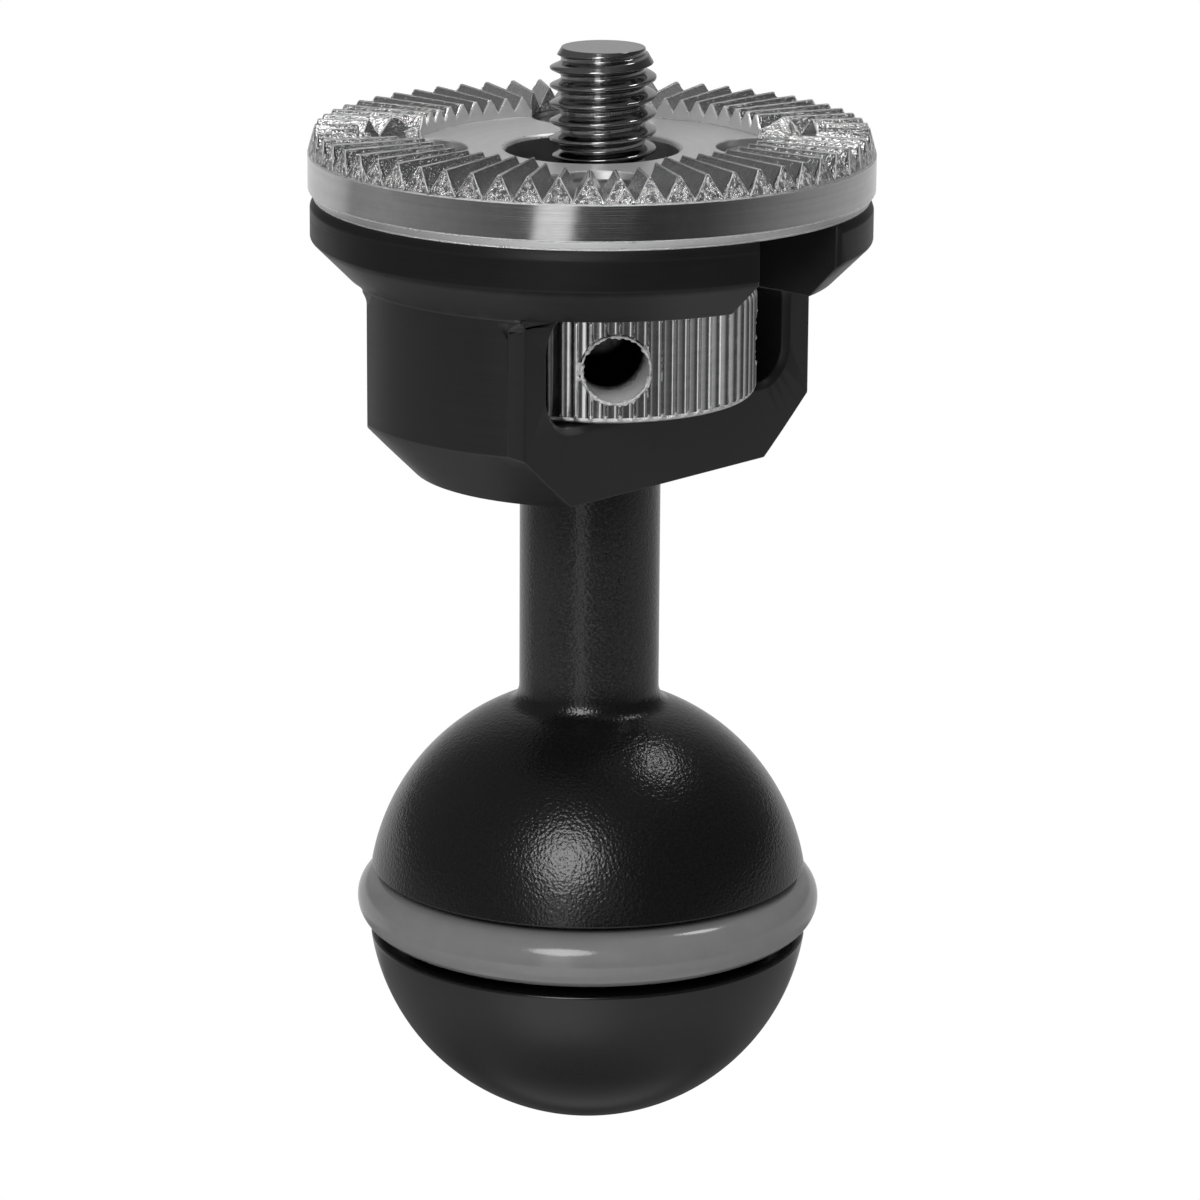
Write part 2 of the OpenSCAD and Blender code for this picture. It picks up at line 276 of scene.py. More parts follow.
# The starts are heights in mm over the ball's centre, through which the blasted skin changes
blasting = {
    "pitsStart": (1.5, 2.5), "stemStarts": (12.5, 14.0), "shineStarts": (-8.0, -2.5),
    "lowPits": 0.15, "pitDepth": 0.016, "ballPale": 0.25, "darkest": 0.2, "palest": 8,
    "lowShine": 0.07, "shine": 0.42, "gloss": (0.16, 0.24),
}


# Bead-blasted black: pits about 0.2 mm wide above the ring, a smoother and duller ball below it,
# and a paler stem
def blastedBlack(name, level):
    made, tree, shader = material(name, {"Base Color": grey(level), "Roughness": 0.2,
                                         "Specular IOR Level": 0.5})
    at = polar(tree)
    pits = put(tree, "TexVoronoi", {"Vector": at["place"], "Scale": 5.2, "Smoothness": 0.7},
               feature="SMOOTH_F1").outputs["Distance"]
    fine = grain(tree, at["place"], scale=8.0, detail=1.0)
    pitted = step(tree, at["z"], *blasting["pitsStart"])
    rough = calc(tree, "MULTIPLY", calc(tree, "ADD", pits, fine),
                 spread(tree, pitted, blasting["lowPits"], 1.0))
    onStem = step(tree, at["z"], *blasting["stemStarts"])
    tone = calc(tree, "MULTIPLY", fine, spread(tree, onStem, blasting["ballPale"], 1.0))
    shine = step(tree, at["z"], *blasting["shineStarts"])
    wire(tree, shader,
         Specular_IOR_Level=spread(tree, shine, blasting["lowShine"], blasting["shine"]),
         Base_Color=blendColour(tree, tone, grey(level * blasting["darkest"]),
                                grey(level * blasting["palest"])),
         Roughness=spread(tree, fine, *blasting["gloss"]),
         Normal=raised(tree, rough, blasting["pitDepth"]))
    return made


# Where the rosette's finish changes, worked out from its radius and the height of its crests
rosetteR, crestZ = 15.9, 45.25
toothing = {
    "teethStart": (crestZ - 1.39, crestZ - 1.31), "discStarts": (crestZ - 1.32, crestZ - 1.27),
    "discEnds": (10.05, 10.2), "rimStarts": (rosetteR - 0.1, rosetteR - 0.02),
    "endsStart": (rosetteR - 0.46, rosetteR - 0.36),
    "rimGloss": 0.22, "teethGloss": 0.2, "teethRough": 0.25, "endsRough": 0.6, "roughDepth": 0.4,
    # The sparkle keys set the painted sparkle on the teeth's outer ends: dark and bright specks painted into
    # their colour
    "discMetal": 0.5, "discPalest": 1.35, "sparkleSteps": (0.39, 0.54), "sparkleDark": 0.35,
    "sparkleBright": 0.95, "sparkleShare": 0.8,
}


# The rosette's own looks over plain turned steel: a smoother rim, smooth teeth whose rough outer
# ends carry painted sparkle, dark and bright specks painted into their colour, and a paler flat
# middle that mirrors less
def toothedLook(tree, at, level, tone, look):
    above = step(tree, at["z"], *toothing["teethStart"])
    outside = step(tree, at["r"], *toothing["discEnds"])
    disc = calc(tree, "SUBTRACT", step(tree, at["z"], *toothing["discStarts"]), outside)
    rim = calc(tree, "SUBTRACT", step(tree, at["r"], *toothing["rimStarts"]), above)
    cut = calc(tree, "MULTIPLY", outside, above)
    ends = calc(tree, "MULTIPLY", step(tree, at["r"], *toothing["endsStart"]), above)
    smooth = weighted(tree, calc(tree, "MAXIMUM", rim, 0.0), toothing["rimGloss"],
                      cut, toothing["teethGloss"])
    share = weighted(tree, ends, toothing["endsRough"], cut, toothing["teethRough"])
    rough = grain(tree, at["place"], scale=3.6, detail=3.0, roughness=0.7)
    pale = blendColour(tree, tone, grey(level), grey(level * toothing["discPalest"]))
    # Painted sparkle: dark and bright specks painted into the colour of the teeth's outer ends
    paintedSparkle = blendColour(tree, step(tree, rough, *toothing["sparkleSteps"]), grey(level * toothing["sparkleDark"]),
                       grey(toothing["sparkleBright"]))
    colour = blendColour(tree, disc, look["Base_Color"], pale)
    return {
        "Base_Color": blendColour(tree, calc(tree, "MULTIPLY", ends, toothing["sparkleShare"]), colour, paintedSparkle),
        "Metallic": spread(tree, disc, 1.0, toothing["discMetal"]),
        "Roughness": calc(tree, "SUBTRACT", look["Roughness"], smooth),
        "Normal": raised(tree, calc(tree, "MULTIPLY", rough, share), toothing["roughDepth"], look["Normal"]),
    }


turning = {"darkest": 0.78, "palest": 1.18, "smoothest": 0.07, "roughest": 0.09}


# Turned steel: rings left by the tool, and light and dark streaks along them. Coarse steel has the
# lumps of a torn edge as well.
def turnedSteel(name, level, gloss, teeth=False, centreY=0.0, depth=0.004, coarse=0.0):
    made, tree, shader = material(name, {"Base Color": grey(level), "Roughness": gloss, "Metallic": 1.0})
    at = polar(tree, centreY)
    path = toolPath(tree, at)
    lines = grain(tree, path, scale=14.0, detail=3.0, roughness=0.6)
    streaks = grain(tree, path, scale=3.0)
    blotch = grain(tree, at["place"], scale=1.6, detail=3.0)
    tone = weighted(tree, streaks, 0.6, blotch, 0.4)
    wear = weighted(tree, lines, 0.5, blotch, 0.5)
    look = {
        "Base_Color": blendColour(tree, tone, grey(level * turning["darkest"]),
                                  grey(level * turning["palest"])),
        "Roughness": spread(tree, wear, gloss - turning["smoothest"], gloss + turning["roughest"]),
        "Normal": raised(tree, lines, depth),
    }
    if teeth:
        look = toothedLook(tree, at, level, tone, look)
    if coarse:
        lumps = grain(tree, at["place"], scale=6.0, detail=4.0, roughness=0.7)
        look["Normal"] = raised(tree, lumps, coarse, look["Normal"])
    wire(tree, shader, **look)
    return made


moulding = {"darkest": 0.9, "palest": 1.1, "gloss": (0.1, 0.17), "peelDepth": 0.003}


# Moulded rubber with the faintest orange peel
def mouldedRubber(name, level):
    made, tree, shader = material(name, {"Base Color": grey(level, 0.006), "Roughness": 0.3,
                                         "Specular IOR Level": 0.45})
    at = polar(tree)
    peel = grain(tree, at["place"], scale=5.0)
    dust = grain(tree, at["place"], scale=0.8, detail=4.0, roughness=0.6)
    wire(tree, shader,
         Base_Color=blendColour(tree, dust, grey(level * moulding["darkest"]),
                                grey(level * moulding["palest"])),
         Roughness=spread(tree, dust, *moulding["gloss"]),
         Normal=raised(tree, peel, moulding["peelDepth"]))
    return made


# Radii from the wheel's axis, distances behind it and heights, in mm, through which the painted
# light and shade on a hole's wall turn from black to bright, from bright to dim, and from bright to black
drilling = {
    "mouthStarts": (3.6, 6.0), "backStarts": (-1.0, 1.0), "paintedShadeStarts": (33.4, 34.8),
    "backShadeShare": 0.35, "scratches": (-0.2, 2.8), "black": 0.004, "bright": 0.95, "gloss": (0.3, 0.6),
    "scratchDepth": 0.09,
}


# The wall of a pin hole: scratched along the drill's path, with painted light in the lower half of
# its opening at the rim, painted shade in its depth and its upper half, and dimmer painted light at
# the back of the wheel
def drilledSteel(name, centreY):
    made, tree, shader = material(name, {"Base Color": grey(0.2), "Roughness": 0.4,
                                         "Specular IOR Level": 0.0})
    at = polar(tree, centreY)
    scratch = grain(tree, toolPath(tree, at, along=4.0, up=2.5), scale=1.6, detail=4.0, roughness=0.7)
    behind = step(tree, at["y"], *drilling["backStarts"])
    upper = step(tree, at["z"], *drilling["paintedShadeStarts"])
    # Painted light on the wall near the rim, dimmer behind, and painted shade in the depth and the upper
    # half
    paintedLight = calc(tree, "MULTIPLY", step(tree, at["r"], *drilling["mouthStarts"]),
                 spread(tree, behind, 1.0, drilling["backShadeShare"]))
    paintedLight = calc(tree, "MULTIPLY", paintedLight, spread(tree, scratch, *drilling["scratches"]))
    paintedLight = calc(tree, "MULTIPLY", paintedLight, calc(tree, "SUBTRACT", 1.0, upper))
    wire(tree, shader,
         Base_Color=blendColour(tree, paintedLight, grey(drilling["black"]), grey(drilling["bright"])),
         Roughness=spread(tree, scratch, *drilling["gloss"]),
         Normal=raised(tree, scratch, drilling["scratchDepth"]))
    return made


screwLow, screwHigh = boxOf("clamp_screw")
screwY = (screwLow[1] + screwHigh[1]) / 2
finishes = {
    "housing": anodisedBlack("anodisedHousing", level=0.011, gloss=0.38),
    "housingEdge": anodisedBlack("anodisedEdge", level=0.014, gloss=0.34),
    "ball": blastedBlack("blastedStem", level=0.005),
    "rosette": turnedSteel("turnedRosette", level=0.56, gloss=0.34, teeth=True),
    # The rosette's edge bevels: a copy of its steel painted far paler, a painted highlight along the teeth's
    # edges, with lumps in its surface
    "rosetteEdge": turnedSteel("paintedHighlightEdge", level=0.92, gloss=0.28, coarse=0.12),
    "wheel": turnedSteel("turnedWheel", level=0.74, gloss=0.17, centreY=screwY),
    "bore": drilledSteel("drilledSteel", centreY=screwY),
    # The holes' lips and the wheel's foot: a coarse copy of the wheel's steel, painted paler as painted
    # light on them
    "burr": turnedSteel("paintedLitBurrSteel", level=0.95, gloss=0.3, centreY=screwY, coarse=0.12),
    "stud": turnedSteel("polishedStud", level=0.34, gloss=0.08, centreY=screwY, depth=0.002),
    "screw": turnedSteel("screwSteel", level=0.4, gloss=0.3),
    "bolt": anodisedBlack("blackOxide", level=0.02, gloss=0.35),
    "ring": mouldedRubber("ringRubber", level=0.2),
}
print("stage: materials made")

# Ball and stem

ballLow, ballHigh = boxOf("ball_stem")
ball = {
    "r": -ballLow[2], "top": ballHigh[2], "shoulder": ballHigh[2] - 1, "stem": 4.0, "fillet": 1.2,
    "grooveLow": -1.8, "grooveHigh": 2.2, "grooveFloor": 10.075, "lip": 0.12,
    "spigot": 3.2, "bore": 2.0, "boreEnd": 17.4, "rounding": 0.1, "innerRounding": 0.15,
    "poleStart": -89.8, "lipGap": 1.2, "lowSteps": 90, "highSteps": 60, "filletSteps": 14,
    "stemSteps": 12, "columns": 192,
}


# From the lower pole: the ball up to the groove, the groove, the ball up to the fillet, whose
# middle is one fillet outside both the ball and the stem, then the stem, its spigot and its bore
def ballProfile(b):
    lowLip = math.sqrt(b["r"] ** 2 - b["grooveLow"] ** 2)
    highLip = math.sqrt(b["r"] ** 2 - b["grooveHigh"] ** 2)
    lowTurn = math.degrees(math.asin(b["grooveLow"] / b["r"]))
    highTurn = math.degrees(math.asin(b["grooveHigh"] / b["r"]))
    x = b["stem"] + b["fillet"]
    z = math.sqrt((b["r"] + b["fillet"]) ** 2 - x ** 2)
    turn = math.degrees(math.atan2(z, x))
    wall, rounding, inner = b["grooveFloor"], b["rounding"], b["innerRounding"]
    return softened(
        arc(0, 0, b["r"], b["poleStart"], lowTurn - b["lipGap"], b["lowSteps"])
        + [(lowLip, b["grooveLow"], b["lip"]), (wall, b["grooveLow"], inner),
           (wall, b["grooveHigh"], inner), (highLip, b["grooveHigh"], b["lip"])]
        + arc(0, 0, b["r"], highTurn + b["lipGap"], turn - 0.5, b["highSteps"])
        + arc(x, z, b["fillet"], turn + 180, 180, b["filletSteps"])
        + [(b["stem"], h) for h in np.linspace(z + 0.3, b["shoulder"] - 0.5, b["stemSteps"])]
        + [(b["stem"], b["shoulder"], rounding), (b["spigot"], b["shoulder"], rounding),
           (b["spigot"], b["top"], inner), (b["bore"], b["top"], rounding),
           (b["bore"], b["boreEnd"]), (0.02, b["boreEnd"])])


stem = finished(turned("blastedBallAndStem", ballProfile(ball), ball["columns"]),
                "adapter", "ball_stem", finishes["ball"])
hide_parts("ball_stem")

# Rubber ring

ringLow, ringHigh = boxOf("ball_ring")
rubber = {"outside": ringHigh[0], "thick": ringHigh[2] - ringLow[2],
          "middle": (ringHigh[2] + ringLow[2]) / 2, "columns": 240, "rows": 56}


# The faces of a grid of rows and columns that closes both ways
def closedQuads(rows, columns):
    i, j = np.meshgrid(np.arange(rows), np.arange(columns), indexing="ij")
    up, on = (i + 1) % rows, (j + 1) % columns
    return np.stack([i * columns + j, i * columns + on, up * columns + on, up * columns + j],
                    axis=2).reshape(-1, 4)


# Points at middleR + r cos v from Z and r sin v above the ring's middle, closed both ways
def torus(name, t):
    r = t["thick"] / 2
    middleR = t["outside"] - r
    u = roundTurns(t["columns"])
    v = roundTurns(t["rows"]).T
    points = wound(middleR + r * np.cos(v) + 0 * u, t["middle"] + r * np.sin(v), u).reshape(-1, 3)
    mesh = filled(name, points, closedQuads(t["rows"], t["columns"]))
    mesh.shade_smooth()
    return linked(name, mesh)


ring = finished(torus("gripRing", rubber), "adapter", "ring", finishes["ring"])
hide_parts("ball_ring")
print("stage: ball, stem and ring made")

# Housing and rosette: the CAD shapes with their edges broken

edges = {
    "housing": {"width": 0.07, "angle": 15}, "rosette": {"width": 0.05, "angle": 11},
    "segments": 2, "flatWeight": 80, "joinMetres": 1e-7,
}


# A CAD node's points, those at one place made one, and its triangles
def mergedTriangles(node):
    joined = bmesh.new()
    joined.from_mesh(nodes[node].data)
    bmesh.ops.remove_doubles(joined, verts=joined.verts, dist=edges["joinMetres"])
    merged = bpy.data.meshes.new("merged")
    joined.to_mesh(merged)
    joined.free()
    points = np.zeros(len(merged.vertices) * 3, np.float32)
    merged.vertices.foreach_get("co", points)
    corners = np.zeros(len(merged.loops), np.int32)
    merged.loops.foreach_get("vertex_index", corners)
    bpy.data.meshes.remove(merged)
    return points.reshape(-1, 3).astype(float) / mm, corners.reshape(-1, 3)


# A copy of a CAD node whose edges are rounded by a narrow bevel. The bevel's faces take the second
# material, and at each corner the largest face sets the shading, so that flat faces stay flat.
def edged(node, name):
    points, triangles = mergedTriangles(node)
    mesh = filled(name, points, triangles=triangles)
    mesh.shade_smooth()
    piece = linked(name, mesh)
    bevel = piece.modifiers.new("edges", "BEVEL")
    bevel.limit_method = "ANGLE"
    bevel.angle_limit = math.radians(edges[node]["angle"])
    bevel.width = edges[node]["width"] * mm
    bevel.segments = edges["segments"]
    bevel.use_clamp_overlap = False
    bevel.material = 1
    shading = piece.modifiers.new("shading", "WEIGHTED_NORMAL")
    shading.mode = "FACE_AREA"
    shading.weight = edges["flatWeight"]
    return piece


body = finished(edged("housing", "anodisedBody"), "adapter", "housing",
                finishes["housing"], finishes["housingEdge"])
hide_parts("housing")
teeth = finished(edged("rosette", "toothedRosette"), "adapter", "rosette",
                 finishes["rosette"], finishes["rosetteEdge"])
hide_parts("rosette")
print("stage: housing and rosette made")

# Clamping screw: ribbed wheel and threaded stud

wheel = {
    "axis": (0.0, screwY), "r": 8.75, "low": screwLow[2], "height": 6.1,
    "ribs": 68, "ribSteps": (0.03, 0.06, 0.1, 0.15, 0.22, 0.32, 0.42), "ribTurn": 1.6,
    "hollow": 0.2, "hollowPower": 3.5, "bevel": 0.6, "bevelW": 0.45, "endSlope": 0.2,
    "bevelSteps": 12, "wallSteps": 8, "wallGap": 0.25, "faceRadii": (0.3, 3.0, 6.0), "rimGaps": (0.4, 0.1),
    "holeR": 2.0, "holeTurns": (228, 318), "holeBevel": 0.05, "holeColumns": 96,
    "cutterReach": (7.6, 10.2), "cutterSteps": 27, "flare": 0.6, "sharpAngle": 28,
    "burr": 0.1, "burrWaves": 0.3, "burrInset": 1.25, "burrOverlap": 1.1,
    "burrColumns": 160, "burrRows": 12,
}
stud = {
    "low": screwLow[2] + 5.6, "tip": screwHigh[2], "r": 2.975, "shank": 2.5, "depth": 0.61,
    "crest": 0.06, "root": 0.1, "roundness": 0.04, "phase": 0.273, "fadeLow": 43.35, "fadeHigh": 43.9,
    "bevelW": 0.65, "bevelH": 1.1, "plainStep": 0.5, "step": 0.03, "columns": 224,
    "footRadii": (0.2, 1, 1.8, 2.4), "tipShares": (0.96, 0.8, 0.4, 0.1),
}


# The ribs' outline, crests with round hollows between them, cut back by the bevels of both rims.
# A bevel bulges: it goes in by 1 - sqrt(1 - (1 - e^2) d^2) over 1 - e at the share d of its
# height, where e is the slope left at its end.
def wheelRings(w):
    half = np.array(w["ribSteps"])
    place = np.concatenate([-half[::-1], half, [0.5]])
    turns = (np.arange(w["ribs"])[:, None] + place[None, :]).ravel() * tau / w["ribs"]
    turns = turns + math.radians(w["ribTurn"])
    across = np.tile((np.abs(place) - half[0]) / (0.5 - half[0]), w["ribs"])
    outline = w["r"] - w["hollow"] * (1 - (1 - across) ** w["hollowPower"])
    b, h, e = w["bevel"], w["height"], w["endSlope"]
    rise = np.concatenate([np.linspace(0, b, w["bevelSteps"]),
                           np.linspace(b + w["wallGap"], h - b - w["wallGap"], w["wallSteps"]),
                           np.linspace(h - b, h, w["bevelSteps"])])
    depth = 1 - np.clip(np.minimum(rise, h - rise) / b, 0, 1)
    cone = w["r"] - w["bevelW"] * (1 - np.sqrt(1 - (1 - e ** 2) * depth ** 2)) / (1 - e)
    radii = np.minimum(outline[None, :], cone[:, None])
    nearRim = w["r"] - w["bevelW"] - np.array(w["rimGaps"])
    face = np.concatenate([w["faceRadii"], nearRim])[:, None] + 0 * outline
    radii = np.vstack([face, radii, face[::-1]])
    heights = np.concatenate([np.zeros(len(face)), rise, np.full(len(face), h)])[:, None] + w["low"]
    return wound(radii, heights, turns[None, :], w["axis"])


# How far along a pin hole its edge meets the wheel's rim: sqrt(R^2 - (r cos a)^2) for the angle a
# round the hole
def rimReach(w, a):
    return np.sqrt(w["r"] ** 2 - (w["holeR"] * np.cos(a)) ** 2)


# Points s along a pin hole from the wheel's middle and r from the hole's middle line, at the
# angle a round it: middle + s along + r cos a side + r sin a up
def roundHole(w, degrees, s, r, a):
    t = math.radians(degrees)
    along, side = np.array([math.cos(t), math.sin(t), 0]), np.array([-math.sin(t), math.cos(t), 0])
    up, middle = np.array([0, 0, 1]), np.array([*w["axis"], w["low"] + w["height"] / 2])
    return (middle + s[..., None] * along
            + (r * np.cos(a))[..., None] * side + (r * np.sin(a))[..., None] * up)


# A cutter along one pin hole, whose radius grows where it meets the wheel's rim. The hole's wall
# takes the wheel's second material, with its painted light and shade, and the bevel at its rim the
# third, whose paler steel is painted light.
def holeCutter(w, degrees):
    a = roundTurns(w["holeColumns"])
    reach = np.linspace(*w["cutterReach"], w["cutterSteps"])
    s = np.concatenate([-reach[::-1], [0], reach])[:, None]
    radius = w["holeR"] + np.clip(np.abs(s) - rimReach(w, a) + w["holeBevel"], 0, w["flare"])
    cutter = skin("cutter", roundHole(w, degrees, s, radius, a))
    flared = np.maximum(radius[:-1], radius[1:]) > w["holeR"] + 0.02
    kinds = np.concatenate([1 + flared.ravel(), np.full(2 * radius.shape[1], 2)])
    cutter.data.polygons.foreach_set("material_index", kinds.astype(np.int32))
    return cutter


# The ragged lip that the drill left where a hole leaves the rim: a small round section, whose size
# wanders with the angle a round the hole, carried along the hole's edge
def burrLip(w, degrees):
    a = roundTurns(w["burrColumns"])
    v = roundTurns(w["burrRows"]).T
    start = math.radians(degrees)
    ragged = np.sin(7 * a + start) + np.sin(13 * a) + np.sin(29 * a + 2)
    size = w["burr"] * (1 + w["burrWaves"] * ragged)
    s = rimReach(w, a) - w["burrInset"] * w["burr"] + size * np.sin(v)
    radius = w["holeR"] - w["burrOverlap"] * w["burr"] - size * np.cos(v)
    points = roundHole(w, degrees, s, radius, a).reshape(-1, 3)
    mesh = filled("burr", points, closedQuads(w["burrRows"], w["burrColumns"]))
    mesh.shade_smooth()
    return mesh


# Cuts the holes for good, and leaves edges sharp where faces meet at more than the given angle
def drilled(piece, cutters, sharpAngle):
    for cutter in cutters:
        cut = piece.modifiers.new("hole", "BOOLEAN")
        cut.operation, cut.solver, cut.object = "DIFFERENCE", "EXACT", cutter
    bpy.context.view_layer.update()
    done = bpy.data.meshes.new_from_object(piece.evaluated_get(bpy.context.evaluated_depsgraph_get()))
    piece.modifiers.clear()
    piece.data = done
    for cutter in cutters:
        bpy.data.objects.remove(cutter)
    done.shade_smooth()
    done.set_sharp_from_angle(angle=math.radians(sharpAngle))


# A right-hand thread: a crest passes each height once a turn, the flanks fall to the root, the
# tip's bevel cuts the crests back, and at its lower end the thread fades into the shank
def studRings(s, axis):
    turns = roundTurns(s["columns"])
    threadLow = s["fadeLow"] - 0.2
    plain = np.arange(s["low"], threadLow, s["plainStep"])
    threaded = np.arange(threadLow, s["tip"], s["step"])
    z = np.concatenate([plain, threaded, [s["tip"]]])[:, None]
    q = np.abs((z - s["phase"] - turns / tau + 0.5) % 1 - 0.5)
    fall = np.clip((q - s["crest"]) / (0.5 - s["crest"] - s["root"]), 0, 1)
    helix = s["r"] - s["depth"] * (fall - s["roundness"] * np.sin(fall * tau))
    fade = np.clip((z - s["fadeLow"]) / (s["fadeHigh"] - s["fadeLow"]), 0, 1)
    fade = fade * fade * (3 - 2 * fade)
    cone = s["r"] - s["bevelW"] + (s["tip"] - z) * s["bevelW"] / s["bevelH"]
    radii = np.minimum(s["shank"] + (helix - s["shank"]) * fade, cone)
    foot = np.array(s["footRadii"])[:, None] + 0 * turns
    face = np.array(s["tipShares"])[:, None] * radii[-1:]
    heights = np.concatenate([np.full(len(foot), s["low"]), z[:, 0], np.full(len(face), s["tip"])])
    return wound(np.vstack([foot, radii, face]), heights[:, None], turns, axis)


# The wheel's underside and the lower half of the bevel round it take the third material, the
# coarse one of the holes' edges, whose paler steel is painted light on them
def coarsePaintedLitFoot(piece, w):
    count = len(piece.data.polygons)
    centres = np.zeros(count * 3)
    piece.data.polygons.foreach_get("center", centres)
    z = centres[2::3] / mm - w["low"]
    piece.data.polygons.foreach_set("material_index", np.where(z < w["bevel"] * 0.5, 2, 0).astype(np.int32))


knob = finished(skin("ribbedWheel", wheelRings(wheel)), "screw", "clamp_screw",
                finishes["wheel"], finishes["bore"], finishes["burr"])
coarsePaintedLitFoot(knob, wheel)
drilled(knob, [holeCutter(wheel, turn) for turn in wheel["holeTurns"]], wheel["sharpAngle"])
thread = finished(skin("threadedStud", studRings(stud, wheel["axis"])),
                  "screw", "clamp_screw", finishes["stud"])
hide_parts("clamp_screw")
lipTurns = [*wheel["holeTurns"], *(turn - 180 for turn in wheel["holeTurns"])]
for number, turn in enumerate(lipTurns, 1):
    finished(linked(f"holeBurr{number}", burrLip(wheel, turn)), "screw", "clamp_screw", finishes["burr"])
print("stage: clamping screw made")

# Socket screws: a turned profile down to the shank's tip, and a hexagon sunk into the head

socket = {"columns": 120, "leadIn": 0.12, "leadDepth": 0.1, "corner": 0.05,
          "floorShare": 0.98, "middleShare": 0.05}
cap = {"head": 1.2, "shank": 1.5, "tip": 0.4, "rounding": 0.1, "seatRounding": 0.08,
       "headRounding": 0.22, "across": 2.0, "depth": 0.8, "starts": (0.2, 0.75, 0.45, 0.95)}
boltLow, boltHigh = boxOf("stem_bolt")
sunk = {"r": boltHigh[0], "shank": 2.0, "tip": 0.5, "rounding": 0.1, "neckRounding": 0.2,
        "headRounding": 0.12, "across": 2.5, "depth": 1.5, "start": 0.3}


# The distance from the middle to a hexagon's side at each angle, for a width across flats
def hexagon(across, turns, start):
    return across / 2 / np.cos((turns - start) % (tau / 6) - tau / 12)


def socketScrew(name, profile, across, depth, centre, start):
    turns = roundTurns(socket["columns"])
    profile = np.array(softened(profile), float)
    top = profile[-1, 1]
    floorZ = top - depth
    hexR = hexagon(across, turns, start)
    radii = np.vstack([profile[:, :1] + 0 * turns, hexR + socket["leadIn"], hexR, hexR,
                       hexR * socket["floorShare"], hexR * socket["middleShare"]])
    heights = np.concatenate([profile[:, 1], [top, top - socket["leadDepth"], floorZ + socket["corner"],
                                              floorZ, floorZ]])[:, None]
    return skin(name, wound(radii, heights, turns, centre))


def capScrew(index, start):
    low, high = boxOf(f"rosette_screw_{index}")
    x, y = (low[:2] + high[:2]) / 2
    r, seat, shank = (high[0] - low[0]) / 2, high[2] - cap["head"], cap["shank"]
    profile = [(0.02, low[2]), (shank - cap["tip"], low[2], cap["rounding"]),
               (shank, low[2] + cap["tip"], cap["rounding"]), (shank, seat - 0.1), (shank, seat),
               (r, seat, cap["seatRounding"]), (r, high[2], cap["headRounding"]), (r - 0.5, high[2])]
    piece = socketScrew(f"capScrew{index}", profile, cap["across"], cap["depth"], (x, y), start)
    finished(piece, "adapter", "rosette_screws", finishes["screw"])
    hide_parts(f"rosette_screw_{index}")


def boltProfile(s, low, high):
    return [(0.02, low), (s["shank"] - s["tip"], low, s["rounding"]),
            (s["shank"], low + s["tip"], s["rounding"]),
            (s["shank"], high - s["r"] + s["shank"], s["neckRounding"]),
            (s["r"], high, s["headRounding"]), (s["r"] - 1, high)]


for index, start in enumerate(cap["starts"], 1):
    capScrew(index, start)
bolt = finished(socketScrew("countersunkBolt", boltProfile(sunk, boltLow[2], boltHigh[2]), sunk["across"],
                            sunk["depth"], (0, 0), sunk["start"]),
                "adapter", "stem_bolt", finishes["bolt"])
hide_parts("stem_bolt")
print("stage: screws made")

# Camera: the focal length and the shift are in pixels of the photograph, which is 1200 wide

photoWidth, sensorWidth = 1200, 36
shot = {
    "azimuth": -47.47, "pitch": 15.29, "distance": 0.3074, "focal": 5377,
    "roll": 0.338, "shift": 10.56, "aim": (0, 0, 0.01781),
}


# The direction from the aim point to a thing at an azimuth and elevation, 0 being the front
def towards(azimuth, elevation):
    a, e = math.radians(azimuth), math.radians(elevation)
    return Vector((math.sin(a) * math.cos(e), -math.cos(a) * math.cos(e), math.sin(e)))


lens = bpy.data.cameras.new("camera")
lens.sensor_width = sensorWidth
lens.lens, lens.shift_x = shot["focal"] / photoWidth * sensorWidth, shot["shift"] / photoWidth
lens.clip_start, lens.clip_end = 0.01, 10
eye = linked("camera", lens)
back = towards(shot["azimuth"], shot["pitch"])
eye.rotation_mode = "QUATERNION"
eye.location = Vector(shot["aim"]) + back * shot["distance"]
eye.rotation_quaternion = (back.to_track_quat("Z", "Y").to_matrix()
                           @ Matrix.Rotation(math.radians(shot["roll"]), 3, "Z")).to_quaternion()
scene.camera = eye

# Lamps: one softbox beside the camera and a smaller one behind the object at the right. Azimuths
# count from the camera's, distances and widths are in metres and power is in watts.

lamps = {
    "keyLamp": {"azimuth": -14, "elevation": 36, "distance": 0.6, "width": 0.29, "power": 1.5},
    "backLamp": {"azimuth": 115, "elevation": 60, "distance": 0.6, "width": 0.13, "power": 0.36},
}
for name, lamp in lamps.items():
    light = bpy.data.lights.new(name, "AREA")
    light.shape = "DISK"
    light.size = lamp["width"]
    light.energy = lamp["power"]
    holder = linked(name, light)
    back = towards(shot["azimuth"] + lamp["azimuth"], lamp["elevation"])
    holder.rotation_mode = "QUATERNION"
    holder.location = Vector(shot["aim"]) + back * lamp["distance"]
    holder.rotation_quaternion = back.to_track_quat("Z", "Y")

# Surroundings: the world and the far floor are white to the camera and in reflections, and a
# plain grey to everything else

studio = {"ambient": 0.5, "floorZ": -0.11, "floorSize": 3.0, "nearFloor": 0.19, "farFloor": 0.225,
          "floorTone": 0.75}


# 1 for what the camera sees straight, mirrored or through something, 0 for all other light; times
# a share where there is one
def whiteSeen(tree, share=None):
    path = put(tree, "LightPath")
    seen = calc(tree, "MAXIMUM", path.outputs["Is Camera Ray"], path.outputs["Is Glossy Ray"])
    seen = calc(tree, "MAXIMUM", seen, path.outputs["Is Transmission Ray"])
    if share is not None:
        seen = calc(tree, "MULTIPLY", seen, share)
    return seen


